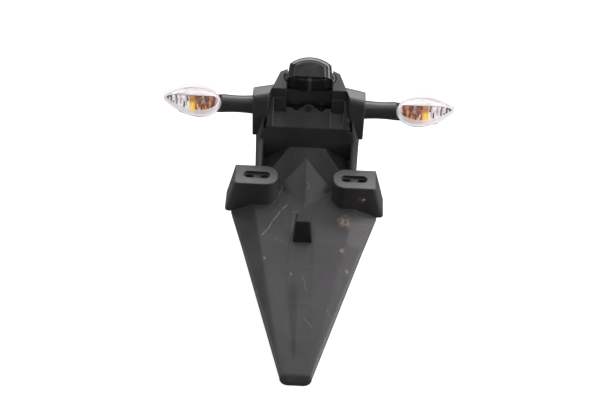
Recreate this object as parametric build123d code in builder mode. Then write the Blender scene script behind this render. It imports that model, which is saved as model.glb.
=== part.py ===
from build123d import *
import os
from math import cos, hypot, radians, sin, tan

# Motorbike tail tidy: rear fender with plate bosses and a plate lamp, on a carrier that holds two indicators
# The origin is the centre of the bike-side mounting face, in millimetres
# +X is to the right, +Y along the fender to the bike, and +Z square off the plate bosses' faces

os.makedirs("parts", exist_ok=True)

# General sizes
wall = 3.0                # moulded wall
seat_gap = 0.3            # between curved faces of separate pieces
rest_z = -92.0            # lowest edges: the carrier's walls and the tail's tip

# Tail: stations along its centre line, from the tip to the bend below the housing
tip_y = -350.0
nose_run = 8.0            # how far the nose lip leans back
nose_height = 9.4
nose_steps = 4            # sections round the nose
kink_y = -178.7
bend_y = -104.5
front_wall_y = -61.0
lower_slope = 17.0        # degrees, tip to kink
upper_slope = 12.0        # degrees, kink to bend
bend_slope = 37.0         # degrees, bend to housing
rim_depth = 5.0           # turned-down edge
tip_half = 9.5
nose_panel_half, nose_edge_half, nose_drop = 17.6, 19.3, 1.0
shoulder_panel_half, shoulder_edge_half, shoulder_drop = 63.0, 91.2, 12.5
bend_panel_half, bend_edge_half, bend_drop = 62.0, 90.0, 12.0
top_panel_half, top_drop = 21.0, 21.5

# Ribs under the tail: two long ones with rungs between them
rib_x = 15.0
rib_height, rib_thickness = 6.0, 2.0
rung_ys = (-300.0, -255.0, -210.0)

# Spearhead gusset in the bend
spear_foot_y = -127.5
spear_half = 35.0
spear_rise_y = 32.5       # from the bend line to the apex

# Plate bosses
plate_z = 15.0
boss_inner_x = 33.7
boss_outer_x = 87.0
boss_front_y = -129.0
boss_depth = 33.0
boss_base_z = -35.0
boss_flare = 12.5         # how far the outer wall leans out at the base
boss_face = 7.0           # thickness of the face
boss_end_radius = 16.0
boss_corner_radius = 5.0
boss_rim_radius = 1.5
slot_x = 60.0
slot_length, slot_width, slot_depth = 32.6, 11.0, 4.0
plate_hole_length, plate_hole_width = 11.0, 7.0
plate_hole_offset = 10.0  # each hole from its slot's centre

# Upper housing
housing_half = 55.0
deck_z = 45.0
housing_base_z = -10.6
housing_top_half = 52.0
wall_top_z = 49.0
pocket_back_y = -44.7
pocket_floor_z = 60.5
pocket_top_z = 82.0
pocket_inner_x, pocket_outer_x = 28.0, 43.6
panel_slack = 0.84        # the panel is a little thinner than the walls round it
ledge = 3.0
step_height = 13.0
cheek_slope = 18.0        # degrees
cheek_foot_half = 46.4
cheek_mid_half, cheek_mid_y = 36.9, -18.3
cheek_back_half, cheek_back_y = 26.0, -13.0
panel_top_z = 66.0
lamp_recess = 9.0         # behind the panel's top edge
lip_overlap = 1.0         # panel's lip past the pockets' back walls
tab_radius, tab_drop = 9.0, 3.0
scallop_radius, scallop_x, scallop_lift = 5.5, 15.5, 3.2

# Carrier
mount_wall = 4.0
carrier_plate = 3.0
carrier_front_y = -57.0
carrier_foot_y = -38.0
carrier_chin_z = -35.0
mount_top_half, mount_top_z = 20.0, 80.0
mount_spacing_x, mount_spacing_z = 76.0, 64.0
mount_hole_radius = 3.3
sleeve_radius = 5.5
sleeve_length = 9.0
grommet_z = 20.0
grommet_radius, grommet_hole_radius = 9.0, 5.0
ear_width = 14.5          # an ear's reach out from the housing's side
ear_front_y, ear_depth = -55.0, 26.0
ear_bottom_z, ear_top_z = 28.0, 88.0
ear_slope = 14.0          # degrees, the top's rise to the inner side
ear_round = 7.0
ear_rim_radius = 2.0
strip_boss_width, strip_ear_width = 8.0, 10.0
strip_boss_base_z, strip_ear_base_z = -9.0, -2.5
strip_drop = 1.0          # strip below the boss faces where it meets them
strip_lap = 2.0           # strip's run up into the ear
strip_round = 3.5
wing_foot_width, wing_top_width = 10.3, 0.8
wing_top_z = 58.0
wing_lap = 4.0            # wing's run down into the strip
screw_radius, screw_head_radius, screw_head = 2.0, 4.5, 3.0
tab_screw_head_radius, tab_screw_head = 3.5, 2.0
screw_tip_room = 1.0      # hole left free past a screw's end
screw_clearance = 0.2
screw_boss_radius, screw_boss_length = 4.5, 9.0
cover_screw_z = 8.0
cover_screw_ys = (-46.0, -16.0)

# Plate buffer
buffer_half, buffer_top_half = 11.7, 8.6
buffer_height = 35.0
buffer_top = 11.5
buffer_top_slope = 16.0   # degrees
buffer_foot = 17.0
buffer_lean = 1.5
buffer_round = 5.0
buffer_rim_radius = 1.5
stem_radius, stem_head_radius, stem_head, stem_taper = 3.0, 5.0, 4.0, 20.0

# Lamp and indicators both face the rear of the bike, tipped from the plate's normal
face_tilt = 28.0          # degrees
lamp_y, lamp_z = -22.0, 95.0
lamp_half, lamp_shoulder_half = 27.4, 25.7
lamp_bottom, lamp_top = -12.7, 16.3
lamp_reach = 40.0
lamp_arch = 9.7           # rise of the arch over its shoulders
lamp_shoulder_round = 6.0
lamp_round = 10.0
lamp_wall = 2.2
gasket = 2.0
collar_half, collar_height, collar_depth, collar_round = 31.8, 14.0, 7.0, 3.0
collar_gap = 0.8          # between the lamp's collar and the cheeks
lens_belly, lens_wall, lens_lip = 4.4, 2.0, 4.0
lamp_screw_x, lamp_screw_u = 20.0, 0.5
lamp_socket_radius, lamp_socket_height = 7.0, 12.0
lamp_bulb_radius, lamp_bulb_length = 4.5, 20.0
lamp_inner_u = 0.0        # bulb's height in the hood
bulb_round_share = 0.9    # rounding of a bulb's end, of its radius

# Indicators
stalk_y, stalk_z = -42.0, 67.0
stalk_end_radius, stalk_waist_radius = 11.6, 10.6
stalk_end_x = 108.0
stud_radius, stud_proud = 6.0, 1.0
nut_thickness, nut_across = 6.0, 17.0
retainer_thickness = 2.0
lens_inner_x = 109.4
lens_length = 71.6
indicator_half = 18.5     # half the lens's height
lens_tip_rise = 3.0
lens_upper_shape = ((0.78, 0.74), (0.45, 1.0), (0.13, 0.66))  # shares of the length and half height
lens_lower_shape = ((0.1, -0.66), (0.35, -1.0), (0.7, -0.68))
lens_upper_slope, lens_lower_slope = 0.7, 0.75                # of the edges at the tip
lens_depth = 22.0
lens_dome_radius = 120.0
lens_dome_share = 0.42    # the dome's top along the lens
lens_draft = 1.6          # how far the lens's side draws in over its depth
neck_length = 14.0
indicator_wall = 2.2
shell_depth, shell_waist_depth = 24.0, 10.0
shell_waist_inset, shell_back_inset = 2.0, 9.0
reflector_depth, reflector_back_inset, reflector_wall = 17.0, 8.5, 1.2
lug_radius, lug_length, lug_drop = 3.5, 3.0, 6.5
bulb_x = 133.4
socket_radius, socket_length = 5.5, 10.0
bulb_radius, bulb_length = 5.2, 19.0

# Worked out from the driving sizes
nose_y = tip_y + nose_run
nose_z = rest_z + nose_height
kink_z = nose_z + (kink_y - nose_y) * tan(radians(lower_slope))
shoulder_z = kink_z + (boss_front_y - kink_y) * tan(radians(upper_slope))
kink_share = (kink_y - nose_y) / (boss_front_y - nose_y)
kink_panel_half = nose_panel_half + (shoulder_panel_half - nose_panel_half) * kink_share
kink_edge_half = nose_edge_half + (shoulder_edge_half - nose_edge_half) * kink_share
kink_drop = nose_drop + (shoulder_drop - nose_drop) * kink_share
bend_z = kink_z + (bend_y - kink_y) * tan(radians(upper_slope))
top_z = bend_z + (front_wall_y - bend_y) * tan(radians(bend_slope))
housing_back_y = -mount_wall
ledge_y = pocket_back_y + ledge
cheek_foot_z = pocket_top_z + step_height
rear = (0, -sin(radians(face_tilt)), cos(radians(face_tilt)))
lamp_plane = Plane(origin=(0, lamp_y, lamp_z), x_dir=(1, 0, 0), z_dir=rear)
indicator_plane = Plane(origin=(0, stalk_y, stalk_z), x_dir=(1, 0, 0), z_dir=rear)
carrier_half = housing_half + carrier_plate
ear_outer_x = housing_half + ear_width
strip_boss_outer_x = housing_half + strip_boss_width
strip_ear_outer_x = housing_half + strip_ear_width
wing_foot_x = housing_half + wing_foot_width
wing_top_x = housing_half + wing_top_width
boss_back_y = boss_front_y + boss_depth
ear_back_y = ear_front_y + ear_depth
panel_run = pocket_back_y - front_wall_y
panel_rise = panel_top_z - wall_top_z
panel_length = hypot(panel_run, panel_rise)
panel_plane = Plane(
    origin=(0, front_wall_y, wall_top_z), x_dir=(1, 0, 0),
    z_dir=(0, -panel_rise / panel_length, panel_run / panel_length),
)
up = (0, cos(radians(face_tilt)), sin(radians(face_tilt)))
buffer_back_z = kink_z + buffer_height + buffer_top * tan(radians(buffer_top_slope))
stem_y = kink_y + buffer_foot / 2
stem_z = kink_z + buffer_foot / 2 * tan(radians(upper_slope))
stem_plane = Plane(
    origin=(0, stem_y, stem_z), x_dir=(1, 0, 0),
    z_dir=(0, -sin(radians(upper_slope)), cos(radians(upper_slope))),
)
screw_hole_radius = screw_radius + screw_clearance
stud_end_x = ear_outer_x - wall - retainer_thickness - nut_thickness - stud_proud


def save(piece, name):
    """Label a finished piece and write it as its own STEP file."""
    piece.part.label = name
    export_step(piece.part, f"parts/{name}.step")


def across(y):
    """A plane that looks along the fender at station y: local x is X and local y is Z."""
    return Plane.XZ.offset(-y)


def fender_section(y, panel_half, panel_z, edge_half, edge_z, bottom_z):
    """A section of the tail: a flat centre panel with a facet falling to each edge."""
    with BuildSketch(across(y)) as section:
        with BuildLine():
            Polyline(
                (-edge_half, bottom_z), (-edge_half, edge_z), (-panel_half, panel_z),
                (panel_half, panel_z), (edge_half, edge_z), (edge_half, bottom_z), close=True,
            )
        make_face()
    return section.sketch


def tail_stations(inset, end_y):
    """The tail's sections, on its outer face or sunk by inset to make its hollow."""
    below = rim_depth if inset == 0 else rim_depth + wall
    stations = [
        (nose_y + inset, nose_panel_half, nose_z, nose_edge_half, nose_drop),
        (kink_y, kink_panel_half, kink_z, kink_edge_half, kink_drop),
        (boss_front_y, shoulder_panel_half, shoulder_z, shoulder_edge_half, shoulder_drop),
        (bend_y, bend_panel_half, bend_z, bend_edge_half, bend_drop),
        (front_wall_y, top_panel_half, top_z, housing_half, top_drop),
    ]
    sections = [
        fender_section(y, panel - inset / 3, z - inset, edge - inset, z - drop - inset, z - drop - below)
        for y, panel, z, edge, drop in stations
    ]
    if end_y > front_wall_y:
        sections.append(
            fender_section(
                end_y, top_panel_half - inset / 3, top_z - inset, housing_half - inset,
                top_z - top_drop - inset, top_z - top_drop - below,
            )
        )
    return sections


def tail_z(y):
    """Height of the tail's centre panel between the nose and the bend."""
    slope = lower_slope if y < kink_y else upper_slope
    return kink_z + (y - kink_y) * tan(radians(slope))


def rib_outline():
    """Side view of a long rib, rooted in the panel's skin."""
    stations = (nose_y + 3 * wall, kink_y, boss_front_y)
    roots = [(y, tail_z(y) - wall / 2) for y in stations]
    return roots + [(y, z - wall / 2 - rib_height) for y, z in reversed(roots)]


def nose_sections():
    """The sections of the nose's lip, which widen from the tip along a quarter round."""
    sections = []
    for step in range(nose_steps + 1):
        turn = radians(90 * step / nose_steps)
        rise = 1 - cos(turn)
        widened = sin(turn)
        half = tip_half + (nose_edge_half - tip_half) * widened
        panel_half = tip_half - wall + (nose_panel_half - tip_half + wall) * widened
        panel_z = rest_z + wall + (nose_height - wall) * rise
        bottom_z = rest_z + (nose_height - nose_drop - rim_depth) * rise
        edge_z = rest_z + wall / 2 + (nose_height - nose_drop - wall / 2) * rise
        sections.append(fender_section(tip_y + nose_run * rise, panel_half, panel_z, half, edge_z, bottom_z))
    return sections


def spearhead(sink):
    """The gusset in the bend: a triangle on the tail that rises to an apex on the slope above."""
    foot_z = kink_z + (spear_foot_y - kink_y) * tan(radians(upper_slope)) - sink
    apex = (0, bend_y + spear_rise_y, bend_z + spear_rise_y * tan(radians(bend_slope)) - sink)
    foot = (0, spear_foot_y, foot_z)
    corners = [(side * spear_half, bend_y, bend_z - sink) for side in (1, -1)]
    base = Face(Wire.make_polygon([foot, *corners]))
    return loft([base, Vertex(*apex)], ruled=True, mode=Mode.PRIVATE)


def strip_section(y, inner_x, outer_x, bottom_z, top_z):
    """A section of the right side strip."""
    with BuildSketch(across(y)) as section:
        with Locations(((inner_x + outer_x) / 2, (bottom_z + top_z) / 2)):
            Rectangle(outer_x - inner_x, top_z - bottom_z)
    return section.sketch


# Hollow of the fender: everything under its skin
housing_profile = [
    (front_wall_y, housing_base_z),
    (front_wall_y, wall_top_z),
    (pocket_back_y, pocket_top_z),
    (ledge_y, pocket_top_z),
    (ledge_y, cheek_foot_z),
    (housing_back_y, cheek_foot_z + (housing_back_y - ledge_y) * tan(radians(cheek_slope))),
    (housing_back_y, housing_base_z),
]
right_plan = [
    (housing_top_half, front_wall_y), (cheek_foot_half, ledge_y), (cheek_mid_half, cheek_mid_y),
    (cheek_back_half, cheek_back_y), (cheek_back_half, housing_back_y),
]
housing_plan = right_plan + [(-x, y) for x, y in reversed(right_plan)]


def housing_mass(inset):
    """The housing's peak: its side profile drawn across, trimmed by its plan."""
    with BuildPart() as mass:
        with BuildSketch(Plane.YZ):
            with BuildLine():
                Polyline(*housing_profile, close=True)
            make_face()
            if inset:
                offset(amount=-inset, kind=Kind.INTERSECTION, mode=Mode.REPLACE)
        extrude(amount=housing_half, both=True)
        with BuildSketch(Plane.XY.offset(housing_base_z)):
            with BuildLine():
                Polyline(*housing_plan, close=True)
            make_face()
            if inset:
                offset(amount=-inset, kind=Kind.INTERSECTION, mode=Mode.REPLACE)
        extrude(amount=4 * cheek_foot_z, mode=Mode.INTERSECT)
    return mass.part


def pocket_cuts(grow):
    """The two side pockets and the centre notch over the panel, or the same grown by a wall."""
    under = grow * panel_length / panel_run * panel_slack
    recess_back_y = pocket_back_y + lamp_recess + grow
    lip_y = pocket_back_y + lip_overlap - grow
    pocket = [
        (front_wall_y - wall, wall_top_z - under), (front_wall_y, wall_top_z - under),
        (pocket_back_y + grow, pocket_floor_z - grow), (pocket_back_y + grow, pocket_top_z),
        (front_wall_y - wall, pocket_top_z),
    ]
    notch = [
        (front_wall_y - wall, wall_top_z - under), (front_wall_y, wall_top_z - under),
        (lip_y, wall_top_z + (lip_y - front_wall_y) * panel_rise / panel_run - under),
        (lip_y, pocket_floor_z - grow), (recess_back_y, pocket_floor_z - grow),
        (recess_back_y, cheek_foot_z), (front_wall_y - wall, cheek_foot_z),
    ]
    middle = (pocket_inner_x + pocket_outer_x) / 2
    with BuildPart() as cuts:
        for x, half, outline in (
            (-middle, middle - pocket_inner_x + grow, pocket),
            (middle, middle - pocket_inner_x + grow, pocket),
            (0, pocket_inner_x, notch),
        ):
            with BuildSketch(Plane.YZ.offset(x)):
                with BuildLine():
                    Polyline(*outline, close=True)
                make_face()
            extrude(amount=half, both=True)
    return cuts.part


def lamp_seat(sink):
    """The space over the lamp's seat, or the same sunk by a wall."""
    with BuildPart() as space:
        with BuildSketch(lamp_plane.offset(-sink)):
            with Locations((0, (lamp_bottom + lamp_top) / 2)):
                Rectangle(2 * (pocket_inner_x + sink), 2 * lamp_reach)
            Ellipse(collar_half + collar_gap + sink, collar_height + collar_gap + sink)
        extrude(amount=lamp_reach)
    return space.part


def boss(inset):
    """The right plate boss, solid, or its hollow when inset."""
    top = plate_z - (boss_face if inset else 0)
    base = boss_base_z - inset
    lean = boss_flare * (plate_z - base) / (plate_z - boss_base_z)
    top_lean = boss_flare * (plate_z - top) / (plate_z - boss_base_z)
    with BuildPart() as block:
        with BuildSketch(across(boss_front_y + inset)):
            with BuildLine():
                Polyline(
                    (boss_inner_x + inset, base), (boss_inner_x + inset, top),
                    (boss_outer_x + top_lean - inset, top), (boss_outer_x + lean - inset, base), close=True,
                )
            make_face()
        extrude(amount=-(boss_depth - 2 * inset))
        fillet(block.edges().filter_by(Axis.Z).group_by(Axis.X)[0], boss_end_radius - inset)
        if inset == 0:
            fillet(block.faces().sort_by(Axis.Y)[0].edges().sort_by(Axis.X)[-1], boss_corner_radius)
            fillet(block.faces().sort_by(Axis.Z)[-1].edges(), boss_rim_radius)
    return block.part


with BuildPart() as fender_hollow:
    add(housing_mass(wall))
    with BuildSketch(Plane.XY.offset(housing_base_z - wall)):
        with Locations((0, (front_wall_y + wall + housing_back_y + wall) / 2)):
            Rectangle(2 * (housing_half - wall), housing_back_y - front_wall_y)
    extrude(amount=deck_z - housing_base_z)
    add(pocket_cuts(wall), mode=Mode.SUBTRACT)
    add(lamp_seat(wall), mode=Mode.SUBTRACT)
    loft(tail_stations(wall, front_wall_y + 2 * wall), ruled=True)
    add(spearhead(wall))
    for side in (boss(wall), mirror(boss(wall), about=Plane.YZ, mode=Mode.PRIVATE)):
        add(side)

# Rear fender: tail, spearhead, plate bosses and housing in one moulding
with BuildPart() as rear_fender:
    loft(tail_stations(0, front_wall_y), ruled=True)
    loft(nose_sections(), ruled=True)
    add(spearhead(0))
    for side in (boss(0), mirror(boss(0), about=Plane.YZ, mode=Mode.PRIVATE)):
        add(side)
    with BuildSketch(Plane.XY.offset(housing_base_z)):
        with Locations((0, (front_wall_y + housing_back_y) / 2)):
            Rectangle(2 * housing_half, housing_back_y - front_wall_y)
    extrude(amount=deck_z - housing_base_z)
    add(housing_mass(0))
    add(fender_hollow.part, mode=Mode.SUBTRACT)
    for x in (-rib_x, rib_x):
        with BuildSketch(Plane.YZ.offset(x)):
            with BuildLine():
                Polyline(*rib_outline(), close=True)
            make_face()
        extrude(amount=rib_thickness / 2, both=True)
    for y in rung_ys:
        with BuildSketch(across(y)):
            with Locations((0, tail_z(y) - wall - rib_height / 2 + wall / 4)):
                Rectangle(2 * rib_x, rib_height + wall / 2)
        extrude(amount=rib_thickness / 2, both=True)
    add(pocket_cuts(0), mode=Mode.SUBTRACT)
    add(lamp_seat(0), mode=Mode.SUBTRACT)
    with BuildSketch(Plane.XY.offset(plate_z)):
        with Locations((-slot_x, boss_front_y + boss_depth / 2), (slot_x, boss_front_y + boss_depth / 2)):
            SlotOverall(slot_length, slot_width)
    extrude(amount=-slot_depth, mode=Mode.SUBTRACT)
    with BuildSketch(Plane.XY.offset(plate_z)):
        for x in (-slot_x, slot_x):
            with Locations(
                (x - plate_hole_offset, boss_front_y + boss_depth / 2),
                (x + plate_hole_offset, boss_front_y + boss_depth / 2),
            ):
                SlotOverall(plate_hole_length, plate_hole_width)
    extrude(amount=-boss_face - wall, mode=Mode.SUBTRACT)
    with BuildSketch(panel_plane):
        with Locations((-scallop_x, panel_length + scallop_lift), (scallop_x, panel_length + scallop_lift)):
            Circle(scallop_radius)
    extrude(amount=-2 * wall, mode=Mode.SUBTRACT)
    with BuildSketch(panel_plane):
        with Locations((0, panel_length - tab_drop)):
            Circle(tab_radius)
    extrude(amount=-wall)
    with BuildSketch(panel_plane):
        with Locations((0, panel_length)):
            Circle(screw_hole_radius)
    extrude(amount=-2 * wall, mode=Mode.SUBTRACT)
    for side in (-1, 1):
        for y in cover_screw_ys:
            with BuildSketch(Plane.YZ.offset(side * housing_half)):
                with Locations((y, cover_screw_z)):
                    Circle(screw_boss_radius)
            extrude(amount=-side * (wall + screw_boss_length))
            with BuildSketch(Plane.YZ.offset(side * housing_half)):
                with Locations((y, cover_screw_z)):
                    Circle(screw_hole_radius)
            extrude(amount=-side * (wall + screw_boss_length), mode=Mode.SUBTRACT)
    with BuildSketch(lamp_plane):
        with Locations((-lamp_screw_x, lamp_screw_u), (lamp_screw_x, lamp_screw_u)):
            Circle(screw_hole_radius)
    extrude(amount=-2 * wall, mode=Mode.SUBTRACT)
    with BuildSketch(stem_plane):
        Circle(stem_radius + screw_clearance)
    extrude(amount=-2 * wall, mode=Mode.SUBTRACT)
save(rear_fender, "rear_fender")


def beside_housing(y):
    """X just outside the housing's peak at station y."""
    for (x, start_y), (next_x, end_y) in zip(right_plan, right_plan[1:]):
        if start_y <= y <= end_y:
            return x + (next_x - x) * (y - start_y) / (end_y - start_y) + seat_gap


def ear_mass(inset):
    """The right ear, which hugs the housing's side, or its hollow when inset, open below."""
    inner_x = beside_housing(ear_back_y) - wall
    inner_top_z = ear_top_z + (ear_outer_x - inner_x) * tan(radians(ear_slope))
    bottom_z = ear_bottom_z - inset
    with BuildPart() as mass:
        with BuildSketch(Plane.XY.offset(bottom_z)):
            with BuildLine():
                Polyline(
                    (ear_outer_x, ear_front_y), (ear_outer_x, ear_back_y),
                    (beside_housing(ear_back_y), ear_back_y), (cheek_foot_half + seat_gap, ledge_y),
                    (beside_housing(ear_front_y), ear_front_y), close=True,
                )
            make_face()
            if inset:
                offset(amount=-inset, kind=Kind.INTERSECTION, mode=Mode.REPLACE)
        extrude(amount=2 * ear_top_z)
        with BuildSketch(across(ear_front_y)):
            with BuildLine():
                Polyline(
                    (inner_x, bottom_z), (ear_outer_x, bottom_z), (ear_outer_x, ear_top_z - inset),
                    (inner_x, inner_top_z - inset), close=True,
                )
            make_face()
        extrude(amount=-ear_depth, mode=Mode.INTERSECT)
        if inset == 0:
            top_edges = mass.faces().sort_by(Axis.Z)[-1].edges().sort_by(Axis.Y)
            fillet([top_edges[0], top_edges[-1]], ear_round)
            fillet(mass.edges().filter_by(Axis.Z).group_by(Axis.X)[-1].sort_by(Axis.Y)[0], ear_rim_radius)
    return mass.part


def side_strip():
    """The right side strip between boss and ear, rounded along its top."""
    with BuildPart() as strip:
        loft(
            [
                strip_section(
                    boss_back_y, housing_half, strip_boss_outer_x, strip_boss_base_z, plate_z - strip_drop,
                ),
                strip_section(
                    ear_front_y + wall, housing_half, strip_ear_outer_x, strip_ear_base_z,
                    ear_bottom_z + strip_lap,
                ),
            ],
            ruled=True,
        )
        top = strip.faces().sort_by(Axis.Z)[-1]
        fillet(top.edges().sort_by(Edge.length)[-2:], strip_round)
    return strip.part


def wing_section(z, outer_x):
    """A level section of the rounded corner that carries the housing's front wall round to the ear."""
    back_y = ear_front_y + wall
    with BuildSketch(Plane.XY.offset(z)) as section:
        with BuildLine():
            Polyline((outer_x, back_y), (housing_half, back_y), (housing_half, front_wall_y))
            EllipticalCenterArc(
                (housing_half, back_y), outer_x - housing_half, back_y - front_wall_y,
                start_angle=270, arc_size=90,
            )
        make_face()
    return section.sketch


# Carrier: side walls with ears and strips, closed at the back by the mounting wall
with BuildPart() as inner_carrier:
    with BuildSketch(Plane.YZ.offset(housing_half)):
        with BuildLine():
            Polyline(
                (carrier_front_y, ear_bottom_z), (carrier_front_y, carrier_chin_z), (carrier_foot_y, rest_z),
                (0, rest_z), (0, deck_z), (ear_back_y, deck_z), (ear_back_y, ear_bottom_z), close=True,
            )
        make_face()
    extrude(amount=carrier_plate)
    add(ear_mass(0))
    add(side_strip())
    loft(
        [wing_section(ear_bottom_z - wing_lap, wing_foot_x), wing_section(wing_top_z, wing_top_x)],
        ruled=True,
    )
    loft(
        [
            strip_section(
                boss_back_y, carrier_half, strip_boss_outer_x - wall,
                strip_boss_base_z - wall, plate_z - strip_drop - wall,
            ),
            strip_section(
                ear_front_y - wall, carrier_half, strip_ear_outer_x - wall,
                strip_ear_base_z - wall, ear_bottom_z - wall,
            ),
        ],
        ruled=True, mode=Mode.SUBTRACT,
    )
    add(ear_mass(wall), mode=Mode.SUBTRACT)
    with BuildSketch(across(ear_front_y)):
        with Locations((housing_half / 2, (deck_z + ear_bottom_z) / 2)):
            Rectangle(housing_half, deck_z - ear_bottom_z)
    extrude(amount=-ear_depth, mode=Mode.SUBTRACT)
    with BuildSketch(Plane.YZ.offset(ear_outer_x)):
        with Locations((stalk_y, stalk_z)):
            Circle(stud_radius + seat_gap)
    extrude(amount=-wall, mode=Mode.SUBTRACT)
    for y in cover_screw_ys:
        with BuildSketch(Plane.YZ.offset(housing_half)):
            with Locations((y, cover_screw_z)):
                Circle(screw_hole_radius)
        extrude(amount=carrier_plate, mode=Mode.SUBTRACT)
    mirror(about=Plane.YZ)
    with BuildSketch(across(0)):
        with BuildLine():
            Polyline(
                (-carrier_half, rest_z), (-carrier_half, deck_z), (-mount_top_half, mount_top_z),
                (mount_top_half, mount_top_z), (carrier_half, deck_z), (carrier_half, rest_z), close=True,
            )
        make_face()
    extrude(amount=mount_wall)
    with BuildSketch(across(0)):
        with GridLocations(mount_spacing_x, mount_spacing_z, 2, 2):
            Circle(sleeve_radius + wall)
    extrude(amount=sleeve_length)
    with BuildSketch(across(0)):
        with GridLocations(mount_spacing_x, mount_spacing_z, 2, 2):
            Circle(sleeve_radius + seat_gap / 3)
        with Locations((0, grommet_z)):
            Circle(grommet_radius)
    extrude(amount=sleeve_length, mode=Mode.SUBTRACT)
save(inner_carrier, "inner_carrier")

# Steel collars in the mounting holes
with BuildPart() as mount_collars:
    with BuildSketch(across(0)):
        with GridLocations(mount_spacing_x, mount_spacing_z, 2, 2):
            Circle(sleeve_radius)
            Circle(mount_hole_radius, mode=Mode.SUBTRACT)
    extrude(amount=sleeve_length)
save(mount_collars, "mount_collars")

# Rubber grommet in the mounting wall, flush outside and flanged inside
with BuildPart() as wire_grommet:
    with BuildSketch(across(0)):
        with Locations((0, grommet_z)):
            Circle(grommet_radius - seat_gap / 3)
    extrude(amount=mount_wall)
    with BuildSketch(across(-mount_wall)):
        with Locations((0, grommet_z)):
            Circle(grommet_radius + wall)
    extrude(amount=wall)
    with BuildSketch(across(0)):
        with Locations((0, grommet_z)):
            Circle(grommet_hole_radius)
    extrude(amount=mount_wall + wall, mode=Mode.SUBTRACT)
save(wire_grommet, "wire_grommet")

# Screws from the carrier's side walls into the fender
with BuildPart() as cover_screws:
    for side in (-1, 1):
        for y in cover_screw_ys:
            with BuildSketch(Plane.YZ.offset(side * carrier_half)):
                with Locations((y, cover_screw_z)):
                    Circle(screw_head_radius)
            extrude(amount=side * screw_head)
            with BuildSketch(Plane.YZ.offset(side * carrier_half)):
                with Locations((y, cover_screw_z)):
                    Circle(screw_radius)
            extrude(amount=-side * (carrier_plate + wall + screw_boss_length - screw_tip_room))
save(cover_screws, "cover_screws")

# Rubber plate buffer, held by a mushroom stem through the tail
with BuildPart() as plate_buffer:
    with BuildSketch(Plane.YZ):
        with BuildLine():
            Polyline(
                (kink_y, kink_z), (kink_y + buffer_lean, kink_z + buffer_height),
                (kink_y + buffer_lean + buffer_top, buffer_back_z),
                (kink_y + buffer_foot, kink_z + buffer_foot * tan(radians(upper_slope))), close=True,
            )
        make_face()
    extrude(amount=buffer_half, both=True)
    with BuildSketch(across(kink_y)) as buffer_front:
        with BuildLine():
            Polyline(
                (-buffer_half, kink_z), (buffer_half, kink_z), (buffer_top_half, buffer_back_z),
                (-buffer_top_half, buffer_back_z), close=True,
            )
        make_face()
        fillet(buffer_front.vertices().group_by(Axis.Y)[-1], buffer_round)
    extrude(amount=-buffer_foot, mode=Mode.INTERSECT)
    front_edges = plate_buffer.faces().sort_by(Axis.Y)[0].edges().sort_by(Axis.Z)
    fillet(front_edges[1:], buffer_rim_radius)
    with BuildSketch(stem_plane):
        Circle(stem_radius)
    extrude(amount=-wall - stem_head)
    with BuildSketch(stem_plane.offset(-wall - seat_gap)):
        Circle(stem_head_radius)
    extrude(amount=-stem_head, taper=stem_taper)
save(plate_buffer, "plate_buffer")


def hood_outline(inset, bottom):
    """The hood's outline: sides that lean in a little under a low arch."""
    shoulder = lamp_shoulder_half - inset
    shoulder_u = lamp_top - lamp_arch - inset
    lean = (lamp_half - lamp_shoulder_half) / (lamp_top - lamp_arch - lamp_bottom)
    foot = shoulder + lean * (shoulder_u - bottom)
    with BuildSketch(lamp_plane.offset(gasket)) as arch:
        with BuildLine():
            Polyline((-shoulder, shoulder_u), (-foot, bottom), (foot, bottom), (shoulder, shoulder_u))
            ThreePointArc((shoulder, shoulder_u), (0, lamp_top - inset), (-shoulder, shoulder_u))
        make_face()
        fillet(arch.vertices().group_by(Axis.Y)[-1], lamp_shoulder_round - inset)
    return arch.sketch


def hood_mass(inset):
    """The hood's vaulted form, or its hollow when inset, open below."""
    bottom = lamp_bottom - (2 * lens_belly if inset else 0)
    with BuildPart() as mass:
        extrude(hood_outline(inset, bottom), amount=lamp_reach - gasket - inset)
        front = mass.faces().sort_by(Axis((0, 0, 0), rear))[-1]
        fillet(front.edges().sort_by(Axis((0, 0, 0), up))[1:], lamp_round - inset)
    return mass.part


def lamp_lens_mass(inset):
    """The belly of the lamp's lens, or its hollow when inset, open above."""
    half = lamp_half - lamp_wall - 2 * seat_gap - inset
    start = gasket + inset
    end = lamp_reach - lamp_wall - seat_gap - inset
    top = lamp_bottom + lens_lip + inset
    with BuildPart() as mass:
        with BuildSketch(lamp_plane.offset(start)):
            with BuildLine():
                Polyline((half, lamp_bottom), (half, top), (-half, top), (-half, lamp_bottom))
                belly = (0, lamp_bottom - lens_belly + inset)
                ThreePointArc((-half, lamp_bottom), belly, (half, lamp_bottom))
            make_face()
        extrude(amount=end - start)
        upright = mass.edges().filter_by(Axis((0, 0, 0), up)).sort_by(Axis((0, 0, 0), rear))
        fillet(upright[-2:], lamp_round - lamp_wall - inset)
    return mass.part


# Lamp: gasket, hood, lens, bulb and its holder
with BuildPart() as lamp_gasket:
    with BuildSketch(lamp_plane):
        Ellipse(collar_half, collar_height)
        Ellipse(collar_half - wall, collar_height - wall, mode=Mode.SUBTRACT)
    extrude(amount=gasket)
save(lamp_gasket, "lamp_gasket")

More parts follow.
